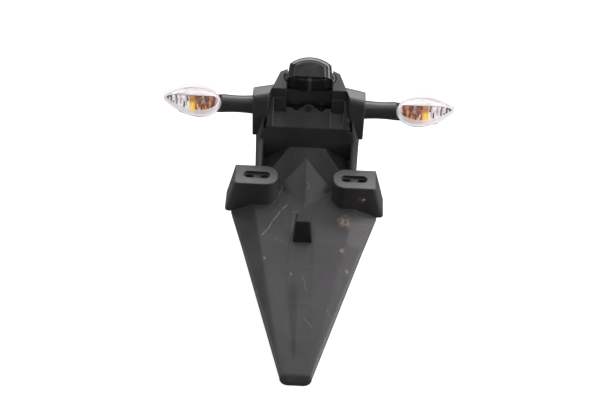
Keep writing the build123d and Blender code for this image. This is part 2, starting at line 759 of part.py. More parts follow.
with BuildPart() as lamp_hood:
    with BuildSketch(lamp_plane.offset(gasket)):
        Ellipse(collar_half, collar_height)
    extrude(amount=collar_depth)
    fillet(lamp_hood.edges().sort_by(Axis((0, 0, 0), rear))[-1], collar_round)
    add(hood_mass(0))
    add(hood_mass(lamp_wall), mode=Mode.SUBTRACT)
    with BuildSketch(lamp_plane.offset(gasket)):
        with Locations((-lamp_screw_x, lamp_screw_u), (lamp_screw_x, lamp_screw_u)):
            Circle(screw_boss_radius)
    extrude(amount=screw_boss_length)
    with BuildSketch(lamp_plane.offset(gasket)):
        with Locations((-lamp_screw_x, lamp_screw_u), (lamp_screw_x, lamp_screw_u)):
            Circle(screw_hole_radius)
    extrude(amount=screw_boss_length, mode=Mode.SUBTRACT)
save(lamp_hood, "lamp_hood")

with BuildPart() as lamp_lens:
    add(lamp_lens_mass(0))
    add(lamp_lens_mass(lens_wall), mode=Mode.SUBTRACT)
save(lamp_lens, "lamp_lens")

with BuildPart() as lamp_socket:
    with BuildSketch(lamp_plane):
        with Locations((0, lamp_inner_u)):
            Circle(lamp_socket_radius)
    extrude(amount=lamp_socket_height)
save(lamp_socket, "lamp_socket")

with BuildPart() as lamp_bulb:
    with BuildSketch(lamp_plane.offset(lamp_socket_height)):
        with Locations((0, lamp_inner_u)):
            Circle(lamp_bulb_radius)
    extrude(amount=lamp_bulb_length)
    fillet(lamp_bulb.edges().sort_by(Axis((0, 0, 0), rear))[-1], lamp_bulb_radius * bulb_round_share)
save(lamp_bulb, "lamp_bulb")

with BuildPart() as lamp_screws:
    for x in (-lamp_screw_x, lamp_screw_x):
        with BuildSketch(lamp_plane.offset(-wall)):
            with Locations((x, lamp_screw_u)):
                Circle(screw_head_radius)
        extrude(amount=-screw_head)
        with BuildSketch(lamp_plane.offset(-wall)):
            with Locations((x, lamp_screw_u)):
                Circle(screw_radius)
        extrude(amount=wall + gasket + screw_boss_length - screw_tip_room)
save(lamp_screws, "lamp_screws")

with BuildPart() as lamp_tab_screw:
    with BuildSketch(panel_plane):
        with Locations((0, panel_length)):
            Circle(tab_screw_head_radius)
    extrude(amount=tab_screw_head)
    with BuildSketch(panel_plane):
        with Locations((0, panel_length)):
            Circle(screw_radius)
    extrude(amount=-2 * wall)
save(lamp_tab_screw, "lamp_tab_screw")


def lens_edge(shape, start, length, half):
    """Points of one edge of the almond outline, from their shares."""
    return [(start + x * length, y * half) for x, y in shape]


def lens_outline(forward, inset):
    """The indicator's almond outline at a depth, drawn in by inset: pointed outwards, blunt inwards."""
    length = lens_length - 2 * inset
    half = indicator_half - inset
    start = lens_inner_x + inset
    tip = (start + length, lens_tip_rise)
    inner = (start, 0)
    with BuildSketch(indicator_plane.offset(forward)) as outline:
        with BuildLine():
            Spline(
                tip, *lens_edge(lens_upper_shape, start, length, half), inner,
                tangents=[(-1, lens_upper_slope), (0, -1)],
            )
            Spline(
                inner, *lens_edge(lens_lower_shape, start, length, half), tip,
                tangents=[(0, -1), (1, lens_lower_slope)],
            )
        make_face()
    return outline.sketch


def lens_mass(inset):
    """The lens's bowl under its dome, or its hollow when inset."""
    dome_x = lens_inner_x + lens_dome_share * lens_length
    dome = indicator_plane.offset(lens_depth - lens_dome_radius - inset).from_local_coords((dome_x, 0, 0))
    with BuildPart() as mass:
        loft([lens_outline(0, inset), lens_outline(lens_depth, lens_draft + inset)])
        with Locations(Location(dome)):
            Sphere(lens_dome_radius, mode=Mode.INTERSECT)
    return mass.part


def shell_mass(inset):
    """The back shell's bowl, or its hollow when inset."""
    with BuildPart() as mass:
        loft(
            [
                lens_outline(0, inset), lens_outline(-shell_waist_depth, shell_waist_inset + inset),
                lens_outline(-shell_depth + inset, shell_back_inset + inset),
            ]
        )
    return mass.part


def reflector_mass(inset):
    """The reflector's bowl, or its hollow when inset."""
    rim = indicator_wall + seat_gap + inset
    with BuildPart() as mass:
        loft([lens_outline(0, rim), lens_outline(-reflector_depth + inset, rim + reflector_back_inset)])
    return mass.part


def rod(x, forward, radius, length):
    """A round bar along X from x, in front of the stalk's axis."""
    centre = indicator_plane.from_local_coords((x, 0, forward))
    with BuildPart() as bar:
        with BuildSketch(Plane(origin=centre, x_dir=(0, 1, 0), z_dir=(1, 0, 0))):
            Circle(radius)
        extrude(amount=length)
    return bar.part


# Right indicator, then its mirror image on the left
with BuildPart() as right_stalk:
    with BuildSketch(indicator_plane):
        with BuildLine():
            Polyline(
                (stalk_end_x, 0), (stud_end_x, 0), (stud_end_x, stud_radius),
                (ear_outer_x, stud_radius), (ear_outer_x, stalk_end_radius),
            )
            ThreePointArc(
                (ear_outer_x, stalk_end_radius), ((ear_outer_x + stalk_end_x) / 2, stalk_waist_radius),
                (stalk_end_x, stalk_end_radius),
            )
            Line((stalk_end_x, stalk_end_radius), (stalk_end_x, 0))
        make_face()
    revolve(axis=Axis(indicator_plane.origin, (1, 0, 0)))
    add(rod(stalk_end_x, -lug_drop, lug_radius, lug_length))

with BuildPart() as right_back_shell:
    add(shell_mass(0))
    add(rod(stalk_end_x, 0, stalk_end_radius, neck_length))
    with BuildSketch(indicator_plane):
        with Locations((stalk_end_x + neck_length, 0)):
            Rectangle(4 * neck_length, 4 * stalk_end_radius)
    extrude(amount=2 * stalk_end_radius, mode=Mode.SUBTRACT)
    add(shell_mass(indicator_wall), mode=Mode.SUBTRACT)
    add(rod(stalk_end_x, -lug_drop, lug_radius + seat_gap, lug_length + seat_gap), mode=Mode.SUBTRACT)

with BuildPart() as right_lens:
    add(lens_mass(0))
    add(lens_mass(indicator_wall), mode=Mode.SUBTRACT)

with BuildPart() as right_reflector:
    add(reflector_mass(0))
    add(reflector_mass(reflector_wall), mode=Mode.SUBTRACT)
    with BuildSketch(indicator_plane):
        with Locations((bulb_x, 0)):
            Circle(socket_radius + seat_gap)
    extrude(amount=-2 * reflector_depth, mode=Mode.SUBTRACT)

socket_plane = indicator_plane.offset(-shell_depth + indicator_wall)
with BuildPart() as right_bulb_socket:
    with BuildSketch(socket_plane):
        with Locations((bulb_x, 0)):
            Circle(socket_radius)
    extrude(amount=socket_length)

with BuildPart() as right_bulb:
    with BuildSketch(socket_plane.offset(socket_length)):
        with Locations((bulb_x, 0)):
            Circle(bulb_radius)
    extrude(amount=bulb_length)
    fillet(right_bulb.edges().sort_by(Axis((0, 0, 0), rear))[-1], bulb_radius * bulb_round_share)

with BuildPart() as right_retainer:
    with BuildSketch(Plane.YZ.offset(ear_outer_x - wall)):
        with Locations((stalk_y, stalk_z)):
            RectangleRounded(ear_depth - 3 * wall, 2 * (ear_depth - 3 * wall), wall)
            Circle(stud_radius + seat_gap, mode=Mode.SUBTRACT)
    extrude(amount=-retainer_thickness)

with BuildPart() as right_nut:
    with BuildSketch(Plane.YZ.offset(ear_outer_x - wall - retainer_thickness)):
        with Locations((stalk_y, stalk_z)):
            RegularPolygon(nut_across / 2, 6, major_radius=False)
            Circle(stud_radius + seat_gap / 3, mode=Mode.SUBTRACT)
    extrude(amount=-nut_thickness)

right_pieces = {
    "stalk": right_stalk, "back_shell": right_back_shell, "lens": right_lens, "reflector": right_reflector,
    "bulb_socket": right_bulb_socket, "bulb": right_bulb, "retainer": right_retainer, "nut": right_nut,
}
for name, piece in right_pieces.items():
    save(piece, f"right_{name}")
    with BuildPart() as left_piece:
        mirror(piece.part, about=Plane.YZ)
    save(left_piece, f"left_{name}")
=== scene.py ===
from math import cos, pi, radians, sin

import bmesh
import bpy
from mathutils import Matrix, Vector


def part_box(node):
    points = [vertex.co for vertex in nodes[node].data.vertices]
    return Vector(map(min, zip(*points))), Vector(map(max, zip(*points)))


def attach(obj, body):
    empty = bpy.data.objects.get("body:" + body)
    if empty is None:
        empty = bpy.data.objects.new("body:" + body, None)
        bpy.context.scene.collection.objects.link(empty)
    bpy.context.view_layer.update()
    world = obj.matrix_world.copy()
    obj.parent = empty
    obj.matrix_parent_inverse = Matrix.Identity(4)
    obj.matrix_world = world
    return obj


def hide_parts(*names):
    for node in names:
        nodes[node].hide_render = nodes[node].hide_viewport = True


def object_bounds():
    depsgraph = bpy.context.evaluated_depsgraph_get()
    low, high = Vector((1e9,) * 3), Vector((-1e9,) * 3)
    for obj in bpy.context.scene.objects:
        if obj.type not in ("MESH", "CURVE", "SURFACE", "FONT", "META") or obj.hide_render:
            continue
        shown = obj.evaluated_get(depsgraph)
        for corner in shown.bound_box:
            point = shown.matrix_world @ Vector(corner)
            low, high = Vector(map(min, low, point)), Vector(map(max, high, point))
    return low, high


# Looks of the tail tidy, in metres, in the frame of the CAD part
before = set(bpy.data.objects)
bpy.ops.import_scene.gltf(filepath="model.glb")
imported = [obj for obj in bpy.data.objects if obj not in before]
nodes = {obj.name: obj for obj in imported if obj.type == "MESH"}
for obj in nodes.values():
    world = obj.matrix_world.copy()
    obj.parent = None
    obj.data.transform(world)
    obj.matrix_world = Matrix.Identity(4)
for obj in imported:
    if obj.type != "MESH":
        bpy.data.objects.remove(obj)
cad_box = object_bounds()
MM = 0.001
X, Y, Z = (1, 0, 0), (0, 1, 0), (0, 0, 1)

# Camera, as fitted to the photograph
camera_elevation = radians(46.0)
camera_turn = radians(0.7)
camera_roll = radians(2.2)
camera_distance = 1.5
camera_target = Vector((-5.0, -160.6, 23.0)) * MM
focal_pixels, image_width, sensor_width = 1247.9, 600, 36.0

# Studio: a pale floor, a grey surround, and soft lights by place, size and power
floor_half, floor_grey, floor_roughness, floor_glow = 15.0, 0.30, 0.9, 0.85
surround_grey = 0.24
light_tint = (1.0, 0.955, 0.975)
softboxes = {
    "overhead": ((0.3, 1.0, 1.05), (4.2, 0.95), 80),
    "top": ((0.1, 0.04, 1.5), (1.2, 0.3), 4.0),
    "spear_left": ((-0.66, -0.38, 1.5), (0.55, 0.4), 2.0),
    "spear_right": ((0.66, -0.38, 1.5), (0.55, 0.4), 2.6),
    "right_side": ((1.6, -0.4, 0.25), (1.0, 1.0), 28),
    "left_side": ((-1.6, -0.4, 0.25), (1.0, 1.0), 10),
}

# Lamp and indicators face the rear of the bike, tipped from the plate's normal
face_tilt = radians(28.0)
rear = Vector((0, -sin(face_tilt), cos(face_tilt)))
up = Vector((0, cos(face_tilt), sin(face_tilt)))

# Places of an indicator, from the frame
lens_low, lens_high = (Vector(corner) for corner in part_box("right_lens"))
stalk_low, stalk_high = (Vector(corner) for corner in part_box("right_stalk"))
stalk_axis = (stalk_low + stalk_high) / 2
lens_start = lens_low.x
lens_length = lens_high.x - lens_low.x

# Indicator lens: its outline, its wall with a skirt over the shell, and its domed face
lens_half = 18.5 * MM
lens_tip_rise = 3.0 * MM
upper_peak, upper_fall = 0.42, 0.69       # where the outline peaks, and how lean it runs to the tip
lower_peak, lower_fall = 0.38, 0.82
lens_depth = 22.0 * MM
lens_dome_radius = 120.0 * MM
lens_draft = 1.3 * MM
skirt_out, skirt_drop = 0.35 * MM, 2.4 * MM
shoulder_round = 1.9 * MM
rib_pitch = 2.0 * MM
outline_steps = 72
wall_shares = (0.04, 0.3, 0.6, 0.8)       # rings up the wall, round the shoulder and in over the face
shoulder_turns = (0.0, 0.35, 0.7, 1.0)
face_shares = (0.15, 0.3, 0.45, 0.6, 0.75, 0.88, 0.96)

# Reflector inside a lens: a rim, a smooth upper shelf and a fluted lower bowl
lens_wall = 2.3 * MM
flange_inset, flange_lift = 0.2 * MM, 0.25 * MM    # the rim, over the shell's edge
divide_up = 7.0 * MM                      # the line between shelf and bowl
shelf_lift, shelf_middle = 4.0 * MM, 0.6  # the shelf's edge over the rim, and its middle's share of that
groove_in, groove_drop = 0.3 * MM, 0.9 * MM    # groove under the shelf's edge, dark as a painted shadow
bowl_depth, bowl_fullness = 10.0 * MM, 0.8
bowl_top_share, bowl_top_step = 0.96, 0.06     # where the bowl starts under the groove
bowl_lead, bowl_tail = 0.12, 0.18         # shares of the length over which the bowl runs out at its ends
flute_pitch, flute_depth = 4.2 * MM, 0.9 * MM
bowl_columns, shelf_rows, bowl_rows, bowl_trim = 160, 3, 14, 0.01
# painted reflections: the reflector's amber, yellow and pale flute colours stand in for the bulb and the
# surroundings mirrored in its plating
amber_reflection_end, yellow_reflection_end = 0.46, 0.565       # shares of the lens's length, from its inner end, where the painted amber and yellow reflections end
colour_blend, colour_wobble = 0.005, 1.5 * MM  # how softly and how unevenly those colours meet
amber_reflection_block, flute_reflection_block = (2.5 * MM, 4.6 * MM), (2.0 * MM, 16 * MM)
yellow_reflection_rise = 6 * MM                      # height over which the painted yellow reflection darkens
pale_end, pale_core = 0.12, 0.06          # the paler inner end of the painted reflection

# Wear on the fender, read off the photograph: places in millimetres
long_scratch = [
    (-51, -171), (-45, -164), (-40, -155), (-36, -149), (-33, -142), (-28, -135), (-20, -126),
]
fine_scratches = [
    ((-36, -175), (-29, -176)), ((-29, -176), (-18, -184)), ((1.6, -220), (7, -238)), ((0, -124), (1, -130)),
    ((6.5, -273), (16.5, -285)), ((33, -262), (40, -270)), ((-17, -136), (-3.5, -135)),
]
pale_spots = [
    ((48.6, -186.7), (49.4, -188.1), 3.4), ((55.6, -210.0), (56.4, -211.4), 2.4),
    ((-45.9, -200.4), (-45.1, -201.8), 2.2), ((-12.1, -219.0), (-11.3, -220.4), 1.9),
]
pale_veins = [
    ((46, -153), (62, -151)), ((62, -151), (68, -146)), ((68, -146), (77, -144)), ((57, -136), (61, -133)),
]
spear_tick = [((1.1, -99.3), (5.5, -102.6)), ((5.5, -102.6), (2.2, -107.9))]
boss_foot_wear = [((-29.0, -101.7), (-29.4, -106.4)), ((-29.4, -106.4), (-32.1, -113.3))]
tan_patch, tan_radius = (51.5, -147.5, -26.2), 13
boss_dirt, dirt_radius = (71.1, -129.0, -4.5), 7
# a pale spot on the boss dirt, as a painted highlight
boss_dirt_highlight, dirt_highlight_radius = (73.0, -129.0, -3.6), 2.4
deep_width, fine_width = 0.65, 0.6
deep_strength, fine_strength, spot_strength, rub_strength = 0.55, 0.22, 0.45, 0.05
mark_core = 0.2                           # share of a mark's width at its full strength
scuff_colour, tan_colour = (0.40, 0.39, 0.38), (0.38, 0.27, 0.21)
dirt_colour, dirt_highlight_colour = (0.16, 0.08, 0.04), (0.42, 0.38, 0.32)

# Bosses' faces, painted paler: a painted highlight for the overhead light that their upward faces catch
plate_face = 15.0 * MM
face_skin, face_skin_core = 0.6 * MM, 0.2 * MM     # how far under the face the look reaches
face_start, face_end = -85 * MM, -95 * MM
face_highlight_colour, face_highlight_strength = (0.085, 0.082, 0.082), 0.7

# Dull band down the middle of the tail
band_foot, band_foot_half = Vector((-2.5, -330.0)) * MM, 1.5 * MM
band_lean, band_spread = -0.078, 0.096    # its shift and its half width, for each millimetre up the tail
band_run_in, band_fade_start, band_fade_end = 15 * MM, 80 * MM, 118 * MM

# Moulded creases, soft on the tail and on the spearhead above it
plain_edge, soft_crease = 1.6 * MM, 7.0 * MM
tail_start, tail_full = -131 * MM, -142 * MM
spear_start, spear_full = -92 * MM, -102 * MM
spear_half, spear_core = 31 * MM, 25 * MM

# Moulded plastic
plastic_dark, plastic_pale = (0.020, 0.020, 0.021), (0.029, 0.029, 0.031)
dust_colour, dust_strength = (0.06, 0.058, 0.056), 0.35
plastic_rough_low, plastic_rough_high = 0.36, 0.46
plastic_shine, band_shine = 0.5, 0.33

# Fine relief on all pieces
grain_depth, ripple_depth = 0.2 * MM, 0.3 * MM


def smooth(t):
    """A step from 0 to 1 with soft ends."""
    t = min(1.0, max(0.0, t))
    return t * t * (3 - 2 * t)


def mesh_object(name, bm, material):
    """A finished piece of the scene, riding on the part's one body."""
    mesh = bpy.data.meshes.new(name)
    bmesh.ops.recalc_face_normals(bm, faces=bm.faces)
    bm.to_mesh(mesh)
    bm.free()
    for face in mesh.polygons:
        face.use_smooth = True
    piece = bpy.data.objects.new(name, mesh)
    bpy.context.scene.collection.objects.link(piece)
    mesh.materials.append(material)
    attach(piece, "root")
    return piece


class Shader:
    """A node material, with short calls for the nodes that this scene uses."""

    def __init__(self, name):
        self.material = bpy.data.materials.new(name)
        self.material.use_nodes = True
        self.tree = self.material.node_tree
        self.principled = self.tree.nodes["Principled BSDF"]
        self.place = self.add("ShaderNodeTexCoord").outputs["Object"]
        self.normal = self.add("ShaderNodeNewGeometry").outputs["Normal"]
        self.wandered = self.place

    def add(self, kind, **settings):
        """A new node with its settings."""
        node = self.tree.nodes.new(kind)
        for key, value in settings.items():
            setattr(node, key, value)
        return node

    def put(self, socket, value):
        """Link a socket, or set it when the value is a constant."""
        if isinstance(value, bpy.types.NodeSocket):
            self.tree.links.new(value, socket)
        else:
            socket.default_value = value

    def set(self, **values):
        """Set or link the shader's own sockets, named with _ for a space."""
        for key, value in values.items():
            self.put(self.principled.inputs[key.replace("_", " ")], value)

    def math(self, operation, a, b=0.0, c=0.0):
        """An operation on numbers."""
        node = self.add("ShaderNodeMath", operation=operation)
        for socket, value in zip(node.inputs, (a, b, c)):
            self.put(socket, value)
        return node.outputs[0]

    def times(self, first, *others):
        """The product of several values."""
        for other in others:
            first = self.math("MULTIPLY", first, other)
        return first

    def total(self, masks):
        """The strongest of several marks."""
        result = masks[0]
        for mask in masks[1:]:
            result = self.math("MAXIMUM", result, mask)
        return result

    def vector(self, operation, a, b=(0, 0, 0), scale=None):
        """An operation on vectors, which gives a vector or a number."""
        node = self.add("ShaderNodeVectorMath", operation=operation)
        self.put(node.inputs[0], a)
        self.put(node.inputs[1], b)
        if scale is not None:
            self.put(node.inputs["Scale"], scale)
        return node.outputs["Value" if operation in ("DOT_PRODUCT", "DISTANCE") else "Vector"]

    def along(self, direction):
        """How far a point lies along a direction."""
        return self.vector("DOT_PRODUCT", self.place, tuple(direction))

    def beside(self):
        """How far a point lies to either side of the part's middle."""
        return self.math("ABSOLUTE", self.along(X))

    def facing(self, direction):
        """How far the surface faces a direction."""
        return self.vector("DOT_PRODUCT", self.normal, tuple(direction))

    def fade(self, value, start, end, low=0.0, high=1.0):
        """Map a value from start and end to low and high, with soft ends."""
        node = self.add("ShaderNodeMapRange", interpolation_type="SMOOTHSTEP")
        for key, number in zip(("From Min", "From Max", "To Min", "To Max"), (start, end, low, high)):
            node.inputs[key].default_value = number
        self.put(node.inputs["Value"], value)
        return node.outputs["Result"]

    def noise(self, scale, detail=3.0, rough=0.5, stretch=(1, 1, 1), output="Fac"):
        """A noise pattern fixed to the part, finer as its scale rises."""
        node = self.add("ShaderNodeTexNoise")
        node.inputs["Scale"].default_value = scale
        node.inputs["Detail"].default_value = detail
        node.inputs["Roughness"].default_value = rough
        self.put(node.inputs["Vector"], self.vector("MULTIPLY", self.place, stretch))
        return node.outputs[output]

    def wander(self, scale, amount):
        """The surface's place, shifted a little at random so that marks don't run ruled straight."""
        shift = self.vector("SUBTRACT", self.noise(scale, detail=3, output="Color"), (0.5, 0.5, 0.5))
        return self.vector("ADD", self.place, self.vector("SCALE", shift, scale=amount))

    def mix(self, amount, a, b):
        """A colour between two others."""
        node = self.add("ShaderNodeMix", data_type="RGBA")
        self.put(node.inputs["Factor"], amount)
        self.put(node.inputs["A"], a if isinstance(a, bpy.types.NodeSocket) else (*a, 1.0))
        self.put(node.inputs["B"], b if isinstance(b, bpy.types.NodeSocket) else (*b, 1.0))
        return node.outputs["Result"]

    def ramp(self, value, stops):
        """A colour from a row of places and colours."""
        node = self.add("ShaderNodeValToRGB")
        elements = node.color_ramp.elements
        while len(elements) < len(stops):
            elements.new(1.0)
        for element, (place, colour) in zip(elements, stops):
            element.position = place
            element.color = (*colour, 1.0)
        self.put(node.inputs["Fac"], value)
        return node.outputs["Color"]

    def bump(self, height, strength, depth, edge=None):
        """Bump on the shader's normal, over edges rounded by a bevel when edge is set."""
        node = self.add("ShaderNodeBump")
        node.inputs["Strength"].default_value = strength
        node.inputs["Distance"].default_value = depth
        self.put(node.inputs["Height"], height)
        if edge is not None:
            bevel = self.add("ShaderNodeBevel", samples=8)
            self.put(bevel.inputs["Radius"], edge)
            self.put(node.inputs["Normal"], bevel.outputs["Normal"])
        self.set(Normal=node.outputs["Normal"])

    def streak(self, start, end, width):
        """A mark along a straight line, 1 on the line and 0 past its width, in plan."""
        a, b = Vector((*start, 0)) * MM, Vector((*end, 0)) * MM
        flat = self.vector("MULTIPLY", self.wandered, (1, 1, 0))
        from_start = self.vector("SUBTRACT", flat, tuple(a))
        direction = (b - a).normalized()
        reach = self.vector("DOT_PRODUCT", from_start, tuple(direction))
        clamp = self.add("ShaderNodeClamp")
        self.put(clamp.inputs["Value"], reach)
        clamp.inputs["Max"].default_value = (b - a).length
        nearest = self.vector("SCALE", tuple(direction), scale=clamp.outputs[0])
        gap = self.vector("DISTANCE", from_start, nearest)
        return self.fade(gap, width * MM, mark_core * width * MM)

    def spot(self, centre, radius):
        """A round mark about a point."""
        gap = self.vector("DISTANCE", self.wandered, tuple(Vector(centre) * MM))
        return self.fade(gap, radius * MM, mark_core * radius * MM)


def fender_edge(s):
    """The rounding of the fender's edges, wider where the mould's creases run soft."""
    tail = s.fade(s.along(Y), tail_start, tail_full)
    spear = s.times(s.fade(s.beside(), spear_half, spear_core), s.fade(s.along(Y), spear_start, spear_full))
    return s.fade(s.math("MAXIMUM", tail, spear), 0.0, 1.0, plain_edge, soft_crease)


def fender_wear_and_highlights(s, colour):
    """The plastic's colour under scratches, rubs and dirt, with painted highlights on the bosses' faces and
    on the boss dirt.
    """
    upward = s.fade(s.facing(Z), 0.35, 0.7)
    breakup = s.fade(s.noise(1100, detail=4, rough=0.7), 0.36, 0.62)
    patchy = s.fade(s.noise(240, detail=3), 0.3, 0.6, 0.35, 1.0)
    legs = list(zip(long_scratch, long_scratch[1:]))
    deep = s.total([s.streak(*leg, deep_width) for leg in legs + boss_foot_wear + spear_tick])
    fine = s.total([s.streak(*leg, fine_width) for leg in fine_scratches + pale_veins])
    spots = s.total([s.streak(*spot) for spot in pale_spots])
    rubbed = s.fade(s.noise(60, detail=4, rough=0.6, stretch=(6, 1, 1)), 0.62, 0.76, 0.0, rub_strength)
    scuffs = s.total([
        s.times(deep, patchy, deep_strength), s.times(fine, breakup, fine_strength),
        s.times(spots, breakup, spot_strength), rubbed,
    ])
    colour = s.mix(s.times(scuffs, upward), colour, scuff_colour)
    blotches = s.fade(s.noise(170, detail=5, rough=0.7), 0.40, 0.62, 0.06, 0.6)
    colour = s.mix(s.times(s.spot(tan_patch, tan_radius), blotches), colour, tan_colour)
    crumbs = s.fade(s.noise(500, detail=3), 0.4, 0.6)
    colour = s.mix(s.times(s.spot(boss_dirt, dirt_radius), crumbs), colour, dirt_colour)
    # painted highlight: a pale spot on the boss dirt
    colour = s.mix(s.spot(boss_dirt_highlight, dirt_highlight_radius), colour, dirt_highlight_colour)
    # painted highlight: the bosses' upward faces painted paler
    face_highlight = s.fade(s.along(Z), plate_face - face_skin, plate_face - face_skin_core, 0.0, face_highlight_strength)
    return s.mix(s.times(face_highlight, s.fade(s.along(Y), face_start, face_end)), colour, face_highlight_colour)


def fender_shine(s):
    """The fender's shine, duller in a leaning band that widens up the tail."""
    climb = s.math("SUBTRACT", s.along(Y), band_foot.y)
    offset = s.math("SUBTRACT", s.along(X), s.math("MULTIPLY_ADD", climb, band_lean, band_foot.x))
    half = s.math("MULTIPLY_ADD", climb, band_spread, band_foot_half)
    reach = s.math("DIVIDE", s.math("ABSOLUTE", offset), half)
    run_out = s.fade(climb, band_fade_end, band_fade_start)
    band = s.times(s.fade(reach, 1.1, 0.2), run_out, s.fade(climb, 0.0, band_run_in))
    return s.fade(band, 0.0, 1.0, plastic_shine, band_shine)


def moulded_plastic(name, worn):
    """Black moulded plastic: satin, finely grained, and scuffed where worn."""
    s = Shader(name)
    cloud = s.noise(28, detail=4)
    colour = s.mix(s.fade(cloud, 0.3, 0.7), plastic_dark, plastic_pale)
    colour = s.mix(s.fade(s.noise(420, detail=3), 0.60, 0.78, 0.0, dust_strength), colour, dust_colour)
    shine, edge = plastic_shine, plain_edge
    if worn:
        s.wandered = s.wander(140, amount=5 * MM)
        colour, shine, edge = fender_wear_and_highlights(s, colour), fender_shine(s), fender_edge(s)
    roughness = s.fade(cloud, 0.25, 0.75, plastic_rough_low, plastic_rough_high)
    s.set(Base_Color=colour, Roughness=roughness, Specular_IOR_Level=shine)
    s.bump(s.noise(2600, detail=2), strength=0.12, depth=grain_depth, edge=edge)
    return s.material


def buffer_rubber():
    """Matt black rubber with a faint bloom."""
    s = Shader("buffer_rubber")
    black, bloomed = (0.010, 0.010, 0.010), (0.018, 0.018, 0.018)
    bloom = s.fade(s.noise(160, detail=4), 0.35, 0.75)
    s.set(Base_Color=s.mix(bloom, black, bloomed))
    s.set(Roughness=s.fade(bloom, 0, 1, 0.5, 0.62), Specular_IOR_Level=0.35)
    s.bump(s.noise(3000, detail=2), strength=0.15, depth=grain_depth, edge=1.2 * MM)
    return s.material


def gloss_plastic(name, colour, roughness, edge):
    """Glossy or satin black plastic with faint handling marks."""
    s = Shader(name)
    haze = s.noise(60, detail=4)
    s.set(Base_Color=s.mix(haze, colour, tuple(1.6 * c for c in colour)))
    s.set(Roughness=s.fade(haze, 0.3, 0.7, roughness, roughness + 0.08), Specular_IOR_Level=0.5)
    s.bump(s.noise(900, detail=2), strength=0.04, depth=grain_depth, edge=edge)
    return s.material


def dark_foam():
    """Closed foam and rubber for seals and the grommet."""
    s = Shader("gasket_rubber")
    pore_colour, skin_colour = (0.008, 0.008, 0.008), (0.022, 0.022, 0.022)
    pores = s.noise(1800, detail=2)
    s.set(Base_Color=s.mix(pores, pore_colour, skin_colour), Roughness=0.75)
    s.bump(pores, strength=0.3, depth=ripple_depth)
    return s.material


def zinc_steel():
    """Zinc plated steel with a brushed, uneven plate."""
    s = Shader("zinc_steel")
    dull, bright = (0.38, 0.38, 0.39), (0.58, 0.57, 0.55)
    brush = s.noise(500, detail=3, rough=0.6, stretch=(1, 1, 12))
    s.set(Base_Color=s.mix(brush, dull, bright), Metallic=1.0)
    s.set(Roughness=s.fade(brush, 0.3, 0.7, 0.28, 0.42))
    s.bump(brush, strength=0.08, depth=grain_depth, edge=0.4 * MM)
    return s.material


def black_screw():
    """Blacked steel of the small screw under the lamp."""
    s = Shader("black_screw")
    blacked, bared = (0.015, 0.015, 0.016), (0.07, 0.07, 0.07)
    worn = s.fade(s.noise(900, detail=3), 0.55, 0.7)
    s.set(Base_Color=s.mix(worn, blacked, bared), Metallic=0.6, Roughness=0.4)
    s.bump(worn, strength=0.05, depth=grain_depth, edge=0.4 * MM)
    return s.material


def lamp_lens():
    """Clear plastic under the hood, tinted dark as painted shade of the lamp's inside, with a painted pale
    streak down its middle for the bulb seen through it.
    """
    s = Shader("lamp_lens")
    streak_half, streak_core, painted_streak_colour = 3.5 * MM, 0.5 * MM, (0.10, 0.09, 0.09)
    rim = s.add("ShaderNodeFresnel")
    rim.inputs["IOR"].default_value = 1.45
    ripple = s.noise(90, detail=2)
    # painted light: a pale streak down the middle, standing in for the bulb seen through the lens
    painted_streak = s.fade(s.beside(), streak_half, streak_core)
    # painted shade: the lens tinted dark for the shadowed inside of the lamp
    dark = s.mix(ripple, (0.030, 0.028, 0.029), (0.020, 0.019, 0.020))
    s.set(Base_Color=s.mix(painted_streak, dark, painted_streak_colour), Roughness=0.10)
    s.set(Alpha=s.math("MULTIPLY_ADD", rim.outputs[0], 0.4, 0.62), Specular_IOR_Level=0.4)
    s.bump(ripple, strength=0.05, depth=ripple_depth)
    return s.material


def indicator_lens(name, frosted):
    """Clear moulded plastic, painted grey at its grazing edges as painted shade, or the ribbed and frosted
    wall round it; both glow a little as painted light from the bright surroundings.
    """
    s = Shader(name)
    edge = s.add("ShaderNodeLayerWeight")
    edge.inputs["Blend"].default_value = 0.35
    grazing = s.fade(edge.outputs["Facing"], 0.25, 0.85)
    ripple = s.noise(90, detail=3)
    clear, milky, painted_edge_shade = (0.92, 0.91, 0.93), (0.84, 0.84, 0.87), (0.26, 0.26, 0.28)
    # painted shade: the lens turns grey at its grazing edges
    s.set(Base_Color=s.mix(grazing, s.mix(ripple, clear, milky), painted_edge_shade))
    # painted glow: emission, strongest on the frosted wall, stands in for light carried from the bright
    # surroundings
    if frosted:
        s.set(Alpha=s.fade(grazing, 0, 1, 0.72, 0.95), Roughness=0.34, Emission_Strength=0.43)
        ribs = s.math("SINE", s.times(s.along(X), 2 * pi / rib_pitch))
        s.bump(ribs, strength=0.12, depth=ripple_depth)
    else:
        s.set(Alpha=s.fade(grazing, 0, 1, 0.06, 0.9), Roughness=0.05, Emission_Strength=0.05)
        s.bump(ripple, strength=0.06, depth=ripple_depth)
    s.set(Emission_Color=(0.95, 0.94, 0.96, 1.0), Specular_IOR_Level=0.6)
    return s.material


def bulb_glass(name, colour, alpha):
    """Bulb glass, faintly uneven."""
    s = Shader(name)
    ripple = s.noise(300, detail=2)
    s.set(Base_Color=s.mix(ripple, colour, tuple(0.8 * c for c in colour)), Roughness=0.06, Alpha=alpha)
    s.bump(ripple, strength=0.05, depth=ripple_depth)
    return s.material


def along_lens(s):
    """How far a point lies along its lens, from the lens's inner end."""
    return s.math("SUBTRACT", s.beside(), lens_start)


